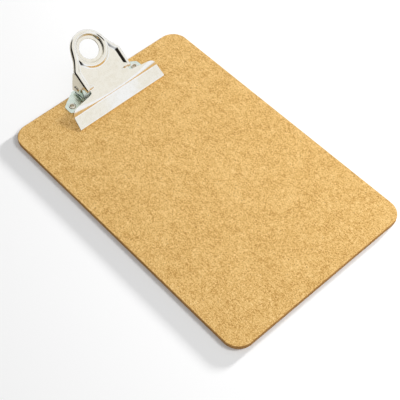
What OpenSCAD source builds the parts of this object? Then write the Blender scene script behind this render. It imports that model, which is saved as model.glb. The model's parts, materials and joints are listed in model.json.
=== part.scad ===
// Memo-size clipboard: a hardboard panel with a sprung lever clip that is riveted to its top end.
// X runs across the panel, Y along it towards the clip, Z up from the panel's underside.
// The origin is the centre of the panel's underside.

/* [Panel] */
// Width of the panel
board_w = 152.4; // [120:0.1:230]
// Length of the panel
board_l = 228.6; // [180:0.1:330]
// Thickness of the panel
board_t = 3.2; // [2.5:0.1:4]
// Radius of the panel's corners
board_r = 12; // [4:0.5:20]

/* [Lever] */
// Thickness of the clip's sheet steel
sheet_t = 0.9; // [0.7:0.05:1]
// Width of the jaw at its gripping edge
jaw_w = 76.6; // [70:0.2:84]
// Distance from the panel's top edge to the jaw's fold
fold_inset = 24.8; // [23:0.1:27]
// Height of the fold above the panel's underside
fold_z = 12.3; // [11.5:0.1:13]
// Slope of the lever's panel above the horizontal, in degrees
lever_tilt = 36; // [34:0.5:38]
// Slope of the jaw's lip above the horizontal, in degrees
lip_tilt = 47; // [44:0.5:52]
// Outer radius of the hanging ring
ring_r = 13.8; // [13:0.1:14.4]
// Radius of the hanging hole
hole_r = 7.4; // [5:0.1:8]
// Distance from the fold to the ring's centre, along the slope
ring_v = 34.9; // [33:0.1:36]
// Height of the raised bead above the lever's panel
bead_h = 1.8; // [1.2:0.1:2]

/* [Hinge] */
// Distance from the panel's top edge to the hinge axis
pivot_inset = 3.9; // [3.5:0.1:4.5]
// Height of the hinge axis above the panel's underside
pivot_z = 10.9; // [10.5:0.1:11.5]
// Radius of the hinge pin
pin_r = 1.75; // [1.2:0.05:2]
// Radial clearance of the pin in the bracket's ears
pin_clear = 0.05; // [0.02:0.01:0.1]
// Distance from the middle to the outer face of the lever's sides
ear_x = 20; // [19.5:0.1:20.5]

/* [Spring] */
// Diameter of the spring's wire
wire_d = 1.5; // [1.2:0.1:1.7]
// Number of turns in the coil
coil_turns = 9; // [5:1:12]
// Mean radius of the coil
coil_r = 3.1; // [2.9:0.1:3.4]

/* [Rivets] */
// Distance from the middle to each rivet
rivet_x = 28.7; // [27:0.1:30]
// Distance from the panel's top edge to the rivets
rivet_inset = 9.2; // [8.5:0.1:10]
// Outer radius of a rivet's hollow shank
rivet_r = 1.6; // [1.2:0.1:1.8]

/* [Hidden] */
$fn = 96;
eps = 0.01;

top_y = board_l / 2;
fold_y = top_y - fold_inset;
pivot_y = top_y - pivot_inset;
rivet_y = top_y - rivet_inset;
plate_z = board_t + sheet_t;

// Lever: wing, relief notch, side and shoulder corners on its sloping panel, right-hand side.
wing = [[37.8, 0], [37.6, 1], [36.8, 2.6], [35.4, 3.9], [33, 4.9], [28.5, 5.6], [21, 6.6]];
relief = [[18.6, 7], [17.3, 7.6], [17.1, 8.5], [18, 9.2]];
notch = [ear_x, 10];
shoulder = [ear_x, 26.2];
ring_c = [0, ring_v];
to_shoulder = shoulder - ring_c;
tangent_angle = atan2(to_shoulder.y, to_shoulder.x) + acos(ring_r / norm(to_shoulder));
tangent = ring_c + ring_r * [cos(tangent_angle), sin(tangent_angle)];

// Bead section: distance in from the lever's outline against height over its panel. The sheet rises
// over a hollow, and its outer edge turns down as a rim. The toe is where it meets the flat panel.
bead_w = 4.6;
flange_h = 2.2;
toe = 4.3;
toe_top = -0.3;
toe_under = -0.6;
bead_rise = [[0, 0], [0.25, 0.5], [0.7, 0.83], [1.3, 0.97], [2, 1], [2.7, 0.92], [3.4, 0.6], [4, 0.22]];
hollow_w = bead_w - 1.6 * sheet_t;

// The bead's section, thinned by slack on every side so that one stretch can run on inside the next.
function bead_section(slack) = concat(
    [[slack, slack - flange_h]],
    [for (p = bead_rise) [slack + p.x * (1 - 2 * slack / bead_w), p.y * bead_h - slack]],
    [[bead_w - slack, toe_top - slack], [bead_w - slack, toe_under + slack]],
    [[sheet_t + hollow_w + slack, slack - sheet_t]],
    [for (i = [len(bead_rise) - 1 : -1 : 0])
        let (p = bead_rise[i])
            [sheet_t - slack + p.x * (hollow_w + 2 * slack) / bead_w, p.y * bead_h - sheet_t + slack]],
    [[sheet_t - slack, slack - flange_h]]
);

// The bead under the ring stands on the panel: distance from the ring's centre against height.
low_bead_half = 2.3;
low_bead_r = ring_r - 1.4;
low_bead = [
    for (a = [0 : 15 : 180])
        [low_bead_r + low_bead_half * cos(a), 0.85 * bead_h * sin(a)]
];
low_bead_trim = 24;

// Flat annulus round the hanging hole, stepped down inside the ring's bead.
annulus_z = -0.6;
ring_inner_r = ring_r - 3.8;
step_wall = 0.6;
step_top = 0.4;

// Jaw lip: it runs down from the fold, then curls in to the gripping edge.
lip_foot_z = board_t + 1.6;
lip_run = (fold_z - lip_foot_z) / tan(lip_tilt);
lip_foot_y = fold_y - lip_run;
lip_n = sheet_t * [sin(lip_tilt), -cos(lip_tilt)];
jaw_gap = 0.15;

// Spring: the coil lies on the hinge axis. Its lower leg lies on the bracket's back edge, and its
// upper leg stands up under the lever's panel, below the ring. Tips are [y, z] from the hinge axis.
wire_r = wire_d / 2;
coil_pitch = wire_d + 0.12;
coil_l = coil_turns * coil_pitch;
wire_sides = 10;
steps_per_turn = 18;
touch_gap = 0.05;
lower_foot = 2.5;
lower_tip = [pivot_inset + 1.6 - lower_foot, plate_z + wire_r + touch_gap - pivot_z];
upper_v = ring_v - ring_r + 3.5;
upper_w = -sheet_t - wire_r - touch_gap;
upper_tip = [
    fold_y + upper_v * cos(lever_tilt) - upper_w * sin(lever_tilt) - pivot_y,
    fold_z + upper_v * sin(lever_tilt) + upper_w * cos(lever_tilt) - pivot_z
];

// Places children on the lever's sloping panel: X across, Y up the slope, Z out of the panel.
module on_panel() {
    translate([0, fold_y, fold_z])
        rotate([lever_tilt, 0, 0])
            children();
}

// Extrudes a side-view outline, given as [y, z] points, from x0 to x1.
module across(x0, x1) {
    translate([x0, 0, 0])
        rotate([90, 0, 90])
            linear_extrude(x1 - x0)
                children();
}

// A plain rounded rectangle.
module rounded_rect(w, l, r) {
    square([w, l - 2 * r], center = true);
    square([w - 2 * r, l], center = true);
    for (sx = [-1, 1], sy = [-1, 1])
        translate([sx * (w / 2 - r), sy * (l / 2 - r)])
            circle(r);
}

module board() {
    color("burlywood")
        difference() {
            linear_extrude(board_t)
                rounded_rect(board_w, board_l, board_r);
            for (s = [-1, 1])
                translate([s * rivet_x, rivet_y, 0]) {
                    translate([0, 0, -1])
                        cylinder(r = rivet_r + 0.05, h = board_t + 2);
                    translate([0, 0, -1])
                        cylinder(r = clinch_r + 0.1, h = clinch_depth + 1);
                }
        }
}

// Bracket: a flat plate with chamfered ends, and two ears that carry the hinge pin.
plate_x = 33.6;
plate_back = top_y + 2;
plate_front = top_y - 17.5;
plate_outline = [
    [plate_x, top_y - 13.8], [plate_x, top_y - 6.2], [20.8, plate_back],
    [-20.8, plate_back], [-plate_x, top_y - 6.2], [-plate_x, top_y - 13.8],
    [-24, plate_front], [24, plate_front]
];
bracket_ear_x = ear_x - sheet_t - 0.2;
bracket_ear_r = 4.4;

module base_plate() {
    color("gainsboro")
        difference() {
            union() {
                translate([0, 0, board_t])
                    linear_extrude(sheet_t)
                        polygon(plate_outline);
                for (s = [-1, 1])
                    across(s > 0 ? bracket_ear_x - sheet_t : -bracket_ear_x,
                           s > 0 ? bracket_ear_x : -bracket_ear_x + sheet_t)
                        bracket_ear();
            }
            for (s = [-1, 1])
                translate([s * rivet_x, rivet_y, board_t - 1])
                    cylinder(r = rivet_r + 0.05, h = sheet_t + 2);
            translate([-bracket_ear_x - 1, pivot_y, pivot_z])
                rotate([0, 90, 0])
                    cylinder(r = pin_r + pin_clear, h = 2 * bracket_ear_x + 2);
        }
}

module bracket_ear() {
    translate([pivot_y, pivot_z])
        circle(bracket_ear_r);
    polygon([
        [pivot_y - 6.4, plate_z - eps], [plate_back - 1.2, plate_z - eps],
        [pivot_y + bracket_ear_r, pivot_z], [pivot_y - bracket_ear_r, pivot_z]
    ]);
}

// Each stretch of bead is this much thinner than the next, and its end runs on inside it.
run_slack = 0.05;
run_past = 0.08;
ring_past = 3;

// One straight stretch of bead from a to b on the panel, cut to the mitre given at each end.
module bead_run(a, b, mitre_a, mitre_b, slack) {
    angle = atan2(b.y - a.y, b.x - a.x);
    over = bead_w + 1;
    end = b + (slack > 0 ? run_past : 0) * (b - a) / norm(b - a);
    intersection() {
        translate([a.x, a.y, 0])
            rotate([0, 0, angle])
                translate([-over, 0, 0])
                    rotate([90, 0, 90])
                        linear_extrude(norm(b - a) + 2 * over)
                            mirror([1, 0])
                                polygon(bead_section(slack));
        translate([0, 0, -10])
            linear_extrude(20)
                polygon([a - mitre_a, end - mitre_b, end + mitre_b * over, a + mitre_a * over]);
    }
}

// The right-hand edge in straight stretches: ring to shoulder, and shoulder to notch.
module bead_edge() {
    stops = [tangent, shoulder, notch];
    last = len(stops) - 2;
    inward = [for (i = [0 : last])
        let (d = (stops[i + 1] - stops[i]) / norm(stops[i + 1] - stops[i]))
            [d.y, -d.x]];
    mitre = [for (i = [0 : last + 1])
        let (n1 = inward[max(i - 1, 0)], n2 = inward[min(i, last)])
            (n1 + n2) / (1 + n1 * n2)];
    for (i = [0 : last])
        bead_run(stops[i], stops[i + 1], mitre[i], mitre[i + 1], (last - i) * run_slack);
}

// The bead over the top of the ring.
module bead_ring() {
    rotate([0, 0, tangent_angle - ring_past])
        rotate_extrude(angle = 180 - 2 * tangent_angle + 2 * ring_past)
            polygon([for (p = bead_section(2 * run_slack)) [ring_r - p.x, p.y]]);
}

// The bead under the ring, let into the panel. Its ends run into the straight edges.
module bead_low() {
    start = 180 - tangent_angle + low_bead_trim;
    rotate([0, 0, start])
        rotate_extrude(angle = 540 - 2 * start)
            polygon(concat(
                low_bead,
                [[low_bead_r - low_bead_half, -sheet_t / 2], [low_bead_r + low_bead_half, -sheet_t / 2]]
            ));
}

// The flat of the panel, out to the toe of the bead, as one outline for both sides.
module panel_flat() {
    toe_tangent = ring_c + (ring_r - toe) * [cos(tangent_angle), sin(tangent_angle)];
    neck = (shoulder - tangent) / norm(shoulder - tangent);
    toe_corner_y = toe_tangent.y + (notch.x - toe - toe_tangent.x) * neck.y / neck.x;
    right = concat(wing, relief, [
        [notch.x - 1.2, notch.y + 0.4], [notch.x - toe, notch.y + 0.4],
        [notch.x - toe, toe_corner_y], toe_tangent
    ]);
    left = [for (i = [len(right) - 1 : -1 : 0]) [-right[i].x, right[i].y]];
    polygon(concat(right, [ring_c], left));
}

// Flat annulus and its step up to the bead, as a section turned about the hanging hole's axis.
module annulus() {
    rotate_extrude()
        polygon([
            [hole_r, annulus_z - sheet_t], [ring_inner_r + step_wall, annulus_z - sheet_t],
            [ring_inner_r + step_wall, step_top], [ring_inner_r, step_top],
            [ring_inner_r, annulus_z], [hole_r, annulus_z]
        ]);
}

// The stamped panel with its hollow bead, turned-down rim and hanging hole.
module lever_head() {
    difference() {
        union() {
            translate([0, 0, -sheet_t])
                linear_extrude(sheet_t)
                    panel_flat();
            for (s = [0, 1])
                mirror([s, 0, 0])
                    bead_edge();
            translate([ring_c.x, ring_c.y, 0]) {
                bead_ring();
                bead_low();
            }
        }
        translate([ring_c.x, ring_c.y, -5])
            cylinder(r = ring_inner_r + step_wall / 2, h = 10);
    }
    translate([ring_c.x, ring_c.y, 0])
        annulus();
}

// Side ear of the lever. Its back corner meets the bracket's plate when the jaw is fully open.
lever_ear_r = 4.1;
stop_corner = [pivot_y + 5.5, pivot_z - 4.5];

module lever_ear() {
    translate([pivot_y, pivot_z])
        circle(lever_ear_r);
    polygon([
        [fold_y + 8.5, fold_z + 5.4], [fold_y + 21, fold_z + 15],
        [top_y - 1.6, fold_z + 13.4], [top_y + 0.6, pivot_z + 2.4], stop_corner,
        [pivot_y, pivot_z - lever_ear_r], [pivot_y - lever_ear_r, pivot_z + 2],
        [fold_y + 12.8, fold_z + 4.6]
    ]);
}

module lip() {
    polygon([
        [fold_y, fold_z], [lip_foot_y, lip_foot_z], [lip_foot_y + 0.25, board_t + jaw_gap + 0.45],
        [lip_foot_y + 0.8, board_t + jaw_gap], [lip_foot_y + 1.7, board_t + jaw_gap],
        [lip_foot_y + lip_n.x + 0.45, lip_foot_z - 0.2], [fold_y + 1.05, fold_z - 0.1]
    ]);
}

module lever() {
    color("whitesmoke")
        difference() {
            union() {
                on_panel()
                    lever_head();
                across(-jaw_w / 2, jaw_w / 2)
                    lip();
                for (s = [-1, 1])
                    across(s > 0 ? ear_x - sheet_t : -ear_x, s > 0 ? ear_x : -ear_x + sheet_t)
                        lever_ear();
            }
            translate([-ear_x - 1, pivot_y, pivot_z])
                rotate([0, 90, 0])
                    cylinder(r = pin_r, h = 2 * ear_x + 2);
        }
}

// Hinge pin: a plain rod, peened over outside the lever's ears.
head_r = 2.6;
head_h = 0.8;

module hinge_pin() {
    color("silver")
        translate([0, pivot_y, pivot_z])
            rotate([0, 90, 0])
                rotate_extrude()
                    polygon([
                        [0, -ear_x - head_h], [1.5, -ear_x - head_h], [2.3, -ear_x - head_h / 2],
                        [head_r, -ear_x], [pin_r, -ear_x], [pin_r, ear_x], [head_r, ear_x],
                        [2.3, ear_x + head_h / 2], [1.5, ear_x + head_h], [0, ear_x + head_h]
                    ]);
}

// The angle on the coil at which a leg to the point p touches it, on the side given by sign.
function touch_angle(p, sign) = atan2(p.y, p.x) + sign * acos(coil_r / norm(p));
function from_axis(x, p) = [x, pivot_y + p.x, pivot_z + p.y];

// Torsion spring: its turns run backwards from the lower leg, so that opening the jaw winds them up.
module torsion_spring() {
    start = touch_angle(lower_tip, -1);
    swept = coil_turns * 360 + start - touch_angle(upper_tip, 1);
    steps = ceil(swept / 360 * steps_per_turn);
    coil = [for (k = [0 : steps])
        let (angle = start - swept * k / steps)
            from_axis(coil_l * (k / steps - 0.5), coil_r * [cos(angle), sin(angle)])];
    color("dimgray")
        wire(concat(
            [from_axis(-coil_l / 2, lower_tip + [lower_foot, 0]), from_axis(-coil_l / 2, lower_tip)],
            coil,
            [from_axis(coil_l / 2, upper_tip)]
        ));
}

// A round wire of wire_sides sides, swept along points with its section kept square to the path.
module wire(points) {
    last = len(points) - 1;
    rings = [for (i = [0 : last])
        let (
            ahead = points[min(i + 1, last)] - points[max(i - 1, 0)],
            dir = ahead / norm(ahead),
            side = cross(dir, [1, 0, 0]) / norm(cross(dir, [1, 0, 0])),
            up = cross(side, dir)
        )
        for (j = [0 : wire_sides - 1])
            points[i] + wire_r * (cos(j * 360 / wire_sides) * side + sin(j * 360 / wire_sides) * up)];
    walls = [for (i = [0 : last - 1], j = [0 : wire_sides - 1])
        let (a = i * wire_sides + j, b = i * wire_sides + (j + 1) % wire_sides)
            [a, b, b + wire_sides, a + wire_sides]];
    polyhedron(
        points = rings,
        faces = concat(
            walls,
            [[for (j = [wire_sides - 1 : -1 : 0]) j]],
            [[for (j = [0 : wire_sides - 1]) last * wire_sides + j]]
        )
    );
}

// Hollow rivet: a rolled head on the bracket, and an end clinched into the panel's underside.
rivet_head_r = 2.6;
rivet_wall = 0.4;
clinch_r = 2.9;
clinch_depth = 0.9;
clinch_lift = 0.05;

module rivet() {
    top = plate_z;
    rotate_extrude()
        polygon([
            [rivet_r - rivet_wall, clinch_lift + 0.5], [rivet_r, clinch_lift + 0.1],
            [clinch_r - 0.5, clinch_lift], [clinch_r, clinch_lift + 0.35],
            [clinch_r - 0.2, clinch_depth - 0.05], [rivet_r, clinch_depth - 0.05],
            [rivet_r, top], [rivet_head_r, top], [rivet_head_r - 0.1, top + 0.4],
            [rivet_head_r - 0.6, top + 0.7], [rivet_r, top + 0.55], [rivet_r - rivet_wall, top + 0.1]
        ]);
}

module rivet_left() {
    color("silver")
        translate([-rivet_x, rivet_y, 0])
            rivet();
}

module rivet_right() {
    color("silver")
        translate([rivet_x, rivet_y, 0])
            rivet();
}

board();
base_plate();
lever();
hinge_pin();
torsion_spring();
rivet_left();
rivet_right();
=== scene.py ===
"""Looks for the memo clipboard: hardboard panel, nickel-plated lever clip, bracket, spring and rivets.

Lengths in the classes are millimetres. MM turns them into metres, the frame's unit, when a mesh is made.
"""
# ruff: noqa: E402

import json
import logging
from dataclasses import dataclass, field
from enum import Enum

import bmesh
import bpy
import numpy as np
from mathutils import Matrix, Vector
from mathutils.geometry import tessellate_polygon

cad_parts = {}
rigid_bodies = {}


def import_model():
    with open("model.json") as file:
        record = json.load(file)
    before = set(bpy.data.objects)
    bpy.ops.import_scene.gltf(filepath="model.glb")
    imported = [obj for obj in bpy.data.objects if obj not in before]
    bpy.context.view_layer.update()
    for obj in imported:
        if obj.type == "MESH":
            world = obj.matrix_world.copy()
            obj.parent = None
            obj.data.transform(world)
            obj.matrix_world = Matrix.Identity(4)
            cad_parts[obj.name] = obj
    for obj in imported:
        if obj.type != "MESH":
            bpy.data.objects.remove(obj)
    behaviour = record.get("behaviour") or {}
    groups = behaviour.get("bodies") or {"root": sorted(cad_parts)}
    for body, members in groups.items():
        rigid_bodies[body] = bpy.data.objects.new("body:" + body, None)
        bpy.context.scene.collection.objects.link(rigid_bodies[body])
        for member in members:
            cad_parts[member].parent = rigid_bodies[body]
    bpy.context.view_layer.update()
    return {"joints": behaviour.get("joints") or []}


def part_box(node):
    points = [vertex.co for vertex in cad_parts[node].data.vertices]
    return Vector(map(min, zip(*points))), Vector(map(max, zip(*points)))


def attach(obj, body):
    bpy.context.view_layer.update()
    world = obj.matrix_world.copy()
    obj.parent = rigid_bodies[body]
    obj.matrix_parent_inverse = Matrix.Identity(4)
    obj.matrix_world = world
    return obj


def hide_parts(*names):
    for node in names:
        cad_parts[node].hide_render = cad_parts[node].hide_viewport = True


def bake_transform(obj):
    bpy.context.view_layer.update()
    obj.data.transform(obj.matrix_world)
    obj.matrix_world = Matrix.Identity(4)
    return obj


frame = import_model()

MM = 0.001
log = logging.getLogger("clipboard")
Array = np.ndarray
Piece = bpy.types.Object

HOLE_STEPS = 32  # points round a hole
TURN_STEPS = 48  # points round a turned piece
WELD = 1e-6  # merging distance for doubles, in metres
SHEET_WELD = 4e-5  # the same for the lever's sheet, where head and front meet
WHITE = (1.0, 1.0, 1.0, 1.0)


# ---- colour, nodes and meshes


def linear(hex_colour: str) -> tuple[float, float, float, float]:
    """Turns an sRGB hex colour into the linear RGBA that shaders take.

    Args:
        hex_colour: six hex digits with a leading hash.

    Returns:
        Linear red, green, blue and an alpha of 1.
    """
    s = np.array([int(hex_colour[i : i + 2], 16) for i in (1, 3, 5)]) / 255.0
    rgb = np.where(s <= 0.04045, s / 12.92, ((s + 0.055) / 1.055) ** 2.4)
    return (float(rgb[0]), float(rgb[1]), float(rgb[2]), 1.0)


def add(tree: bpy.types.NodeTree, kind: str, settings: dict | None = None, **inputs: object) -> bpy.types.Node:
    """Adds one shader node with its settings, socket values and incoming links.

    Args:
        tree: the node tree that takes the node.
        kind: the node's type name after "ShaderNode".
        settings: attributes of the node itself, or stops: position and hex colour of a ramp's stops.
        inputs: socket name (underscores for spaces) or i0, i1, to a value or an output socket.

    Returns:
        The new node.
    """
    node = tree.nodes.new("ShaderNode" + kind)
    settings = dict(settings or {})
    for k, (position, colour) in enumerate(settings.pop("stops", [])):
        element = node.color_ramp.elements[k] if k < 2 else node.color_ramp.elements.new(position)
        element.position, element.color = position, linear(colour)
    for name, value in settings.items():
        setattr(node, name, value)
    for name, value in inputs.items():
        index = name[1:]
        socket = node.inputs[int(index)] if index.isdigit() else node.inputs[name.replace("_", " ")]
        if isinstance(value, bpy.types.NodeSocket):
            tree.links.new(value, socket)
        else:
            socket.default_value = value
    return node


def start_material(name: str) -> tuple[bpy.types.Material, bpy.types.NodeTree, bpy.types.Node]:
    """Starts a node material with a Principled shader.

    Args:
        name: the material's real-world name.

    Returns:
        The material, its node tree and its Principled node.
    """
    material = bpy.data.materials.new(name)
    material.use_nodes = True
    tree = material.node_tree
    return material, tree, tree.nodes["Principled BSDF"]


def mesh_piece(
    name: str,
    points: Array,
    faces: list | Array,
    materials: list[bpy.types.Material],
    face_material: Array | None = None,
    flat: Array | None = None,
) -> Piece:
    """Makes a mesh object at the origin from points in millimetres.

    Args:
        name: the piece's name.
        points: n by 3 array in the part's frame, in millimetres.
        faces: vertex numbers of each face, outward.
        materials: the piece's material slots.
        face_material: slot number of each face.
        flat: True for each face that is shaded flat.

    Returns:
        The new object, linked to the scene.
    """
    mesh = bpy.data.meshes.new(name)
    mesh.from_pydata((np.asarray(points, float) * MM).tolist(), [], [list(map(int, f)) for f in faces])
    for material in materials:
        mesh.materials.append(material)
    count = len(mesh.polygons)
    if face_material is not None:
        mesh.polygons.foreach_set("material_index", np.asarray(face_material, np.int32))
    smooth = np.ones(count, bool) if flat is None else ~np.asarray(flat, bool)
    mesh.polygons.foreach_set("use_smooth", smooth)
    mesh.update()
    piece = bpy.data.objects.new(name, mesh)
    bpy.context.scene.collection.objects.link(piece)
    return piece


def grid_faces(rows: int, columns: int, closed: bool = False, first: int = 0) -> Array:
    """Quads of a rows by columns grid whose points are stored row by row.

    Args:
        rows: number of rows.
        columns: number of columns.
        closed: True if the last column joins the first.
        first: number of the grid's first point.

    Returns:
        Quads as an m by 4 array, turning from the row direction to the column direction.
    """
    i = np.arange(rows - 1)[:, None]
    j = np.arange(columns if closed else columns - 1)[None, :]
    k = (j + 1) % columns
    quads = np.stack([i * columns + j, i * columns + k, (i + 1) * columns + k, (i + 1) * columns + j], -1)
    return quads.reshape(-1, 4) + first


def recalculate(piece: Piece, weld: float = WELD) -> None:
    """Merges a piece's doubles and points its faces outwards.

    Args:
        piece: a closed mesh object.
        weld: merging distance in metres.
    """
    work = bmesh.new()
    work.from_mesh(piece.data)
    bmesh.ops.remove_doubles(work, verts=work.verts, dist=weld)
    bmesh.ops.recalc_face_normals(work, faces=work.faces)
    work.to_mesh(piece.data)
    work.free()
    piece.data.update()


def smooth_step(t: Array) -> Array:
    """Half a cosine wave, from 0 at t = 0 to 1 at t = 1, flat beyond."""
    return 0.5 - 0.5 * np.cos(np.pi * np.clip(t, 0.0, 1.0))


def chaikin(loop: Array, times: int = 3, share: float = 0.25, closed: bool = True) -> Array:
    """Rounds a loop by cutting each corner at a share of its two sides, several times.

    Args:
        loop: n by 2 corners.
        times: number of passes.
        share: share of each side that a pass cuts off.
        closed: False keeps the two ends.

    Returns:
        The rounded loop.
    """
    for _ in range(times):
        after = np.roll(loop, -1, axis=0)
        pair = np.stack([(1 - share) * loop + share * after, share * loop + (1 - share) * after], 1)
        if closed:
            loop = pair.reshape(-1, 2)
        else:
            loop = np.vstack([loop[:1], pair[:-1].reshape(-1, 2), loop[-1:]])
    return loop


def resample(path: Array, step: float) -> Array:
    """Spaces points evenly along a path by arc length.

    Args:
        path: n by d points.
        step: greatest distance between neighbours.

    Returns:
        The evenly spaced points, with the path's own ends.
    """
    length = np.concatenate([[0], np.cumsum(np.linalg.norm(np.diff(path, axis=0), axis=1))])
    count = max(2, int(np.ceil(length[-1] / step)) + 1)
    s = np.linspace(0, length[-1], count)
    return np.stack([np.interp(s, length, path[:, k]) for k in range(path.shape[1])], 1)


def inset(loop: Array, distance: float) -> Array:
    """Moves a counter-clockwise loop inwards along its mitred corner normals.

    Args:
        loop: n by 2 points.
        distance: how far each side moves in.

    Returns:
        The moved loop.
    """
    before = loop - np.roll(loop, 1, axis=0)
    after = np.roll(loop, -1, axis=0) - loop
    n1 = np.stack([-before[:, 1], before[:, 0]], 1) / np.linalg.norm(before, axis=1)[:, None]
    n2 = np.stack([-after[:, 1], after[:, 0]], 1) / np.linalg.norm(after, axis=1)[:, None]
    mitre = (n1 + n2) / (1 + np.clip((n1 * n2).sum(1), -0.5, 1))[:, None]
    return loop + distance * mitre


def arc(centre: tuple[float, float], radius: float, a: Array) -> Array:
    """Points at the angles a on a circle: centre + radius (cos a, sin a)."""
    return np.array(centre) + radius * np.stack([np.cos(a), np.sin(a)], 1)


@dataclass
class Slab:
    """A flat plate with eased edges and round holes, drawn in its own plane.

    Attributes:
        outline: counter-clockwise loop in the plane.
        low: height of the lower face.
        high: height of the upper face.
        ease: radius of the rounded edge.
        holes: centre, radius at the top, and radius and depth of a counterbore from below.
    """

    outline: Array
    low: float
    high: float
    ease: float
    holes: list[tuple[tuple[float, float], float, float, float]] = field(default_factory=list)

    def build(self) -> tuple[Array, list, Array]:
        """Works out the plate: a rounded edge profile carried round the outline, and two flat faces.

        The edge profile is a quarter circle of radius ease at each face: inset = ease (1 - sin a) and
        height = ease (1 - cos a).

        Returns:
            Points, faces, and each face's zone: 0 top, 1 bottom, 2 edge, 3 hole.
        """
        a = np.linspace(0, np.pi / 2, 5)
        into = np.concatenate([self.ease * (1 - np.sin(a)), self.ease * (1 - np.sin(a[::-1]))])
        rise = self.ease * (1 - np.cos(a))
        level = np.concatenate([self.low + rise, self.high - rise[::-1]])
        count = len(self.outline)
        rings = [np.column_stack([inset(self.outline, d), np.full(count, z)]) for d, z in zip(into, level)]
        faces = grid_faces(len(rings), count, closed=True).tolist()
        zones = [2] * len(faces)
        points = list(rings)
        total = len(rings) * count
        low_loops, high_loops = [(rings[0], 0)], [(rings[-1], (len(rings) - 1) * count)]
        around = np.arange(HOLE_STEPS) * 2 * np.pi / HOLE_STEPS
        for centre, radius, bore, depth in self.holes:
            sections = [(radius, self.high)]
            if depth > 0:
                sections += [(radius, self.low + depth), (bore, self.low + depth), (bore, self.low)]
            else:
                sections += [(radius, self.low)]
            turned_rings = [np.column_stack([arc(centre, r, around), np.full(HOLE_STEPS, z)]) for r, z in sections]
            wall = grid_faces(len(turned_rings), HOLE_STEPS, closed=True, first=total)
            faces += wall.tolist()
            zones += [3] * len(wall)
            high_loops.append((turned_rings[0], total))
            low_loops.append((turned_rings[-1], total + HOLE_STEPS * (len(turned_rings) - 1)))
            points += turned_rings
            total += HOLE_STEPS * len(turned_rings)
        for loops, zone in ((high_loops, 0), (low_loops, 1)):
            numbers = np.concatenate([start + np.arange(len(ring)) for ring, start in loops])
            flat = tessellate_polygon([[Vector((p[0], p[1], 0)) for p in ring] for ring, _ in loops])
            faces += [[int(numbers[k]) for k in triangle] for triangle in flat]
            zones += [zone] * len(flat)
        return np.vstack(points), faces, np.array(zones)


def turned(profile: Array, count: int = TURN_STEPS) -> tuple[Array, Array]:
    """A profile turned round the Z axis: x = r cos a, y = r sin a, z = height.

    Args:
        profile: n by 2 radius and height, a closed loop or one that starts and ends on the axis.
        count: number of steps round.

    Returns:
        Points and quads.
    """
    a = np.arange(count) * 2 * np.pi / count
    r, z = profile[:, :1], profile[:, 1:]
    points = np.stack([r * np.cos(a), r * np.sin(a), np.broadcast_to(z, (len(profile), count))], -1)
    return points.reshape(-1, 3), grid_faces(len(profile), count, closed=True)


def swept_tube(path: Array, radius: float, sides: int = 14) -> tuple[Array, list]:
    """A round wire carried along a path, closed by a shallow cone of a quarter radius at each end.

    Each section lies square to the path, with its zero side along the cross product of the path's
    direction and X.

    Args:
        path: n by 3 points.
        radius: the wire's radius.
        sides: number of sides of the section.

    Returns:
        Points and faces, closed by a fan at each end.
    """
    ahead = np.gradient(path, axis=0)
    ahead /= np.linalg.norm(ahead, axis=1)[:, None]
    side = np.cross(ahead, [1.0, 0.0, 0.0])
    side /= np.linalg.norm(side, axis=1)[:, None]
    up = np.cross(side, ahead)
    a = np.arange(sides) * 2 * np.pi / sides
    ring = np.cos(a)[None, :, None] * side[:, None, :] + np.sin(a)[None, :, None] * up[:, None, :]
    points = (path[:, None, :] + radius * ring).reshape(-1, 3)
    faces = grid_faces(len(path), sides, closed=True).tolist()
    last = (len(path) - 1) * sides
    dome = 0.25 * radius
    points = np.vstack([points, path[:1] - dome * ahead[:1], path[-1:] + dome * ahead[-1:]])
    tip = len(points) - 2
    faces += [[tip, (j + 1) % sides, j] for j in range(sides)]
    faces += [[tip + 1, last + j, last + (j + 1) % sides] for j in range(sides)]
    return points, faces


# ---- finishes


class BoardFace(Enum):
    """The three surfaces of a sheet of pressed hardboard."""

    SMOOTH = "hardboard_smooth_face"
    BACK = "hardboard_screen_back"
    EDGE = "hardboard_sawn_edge"


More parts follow.
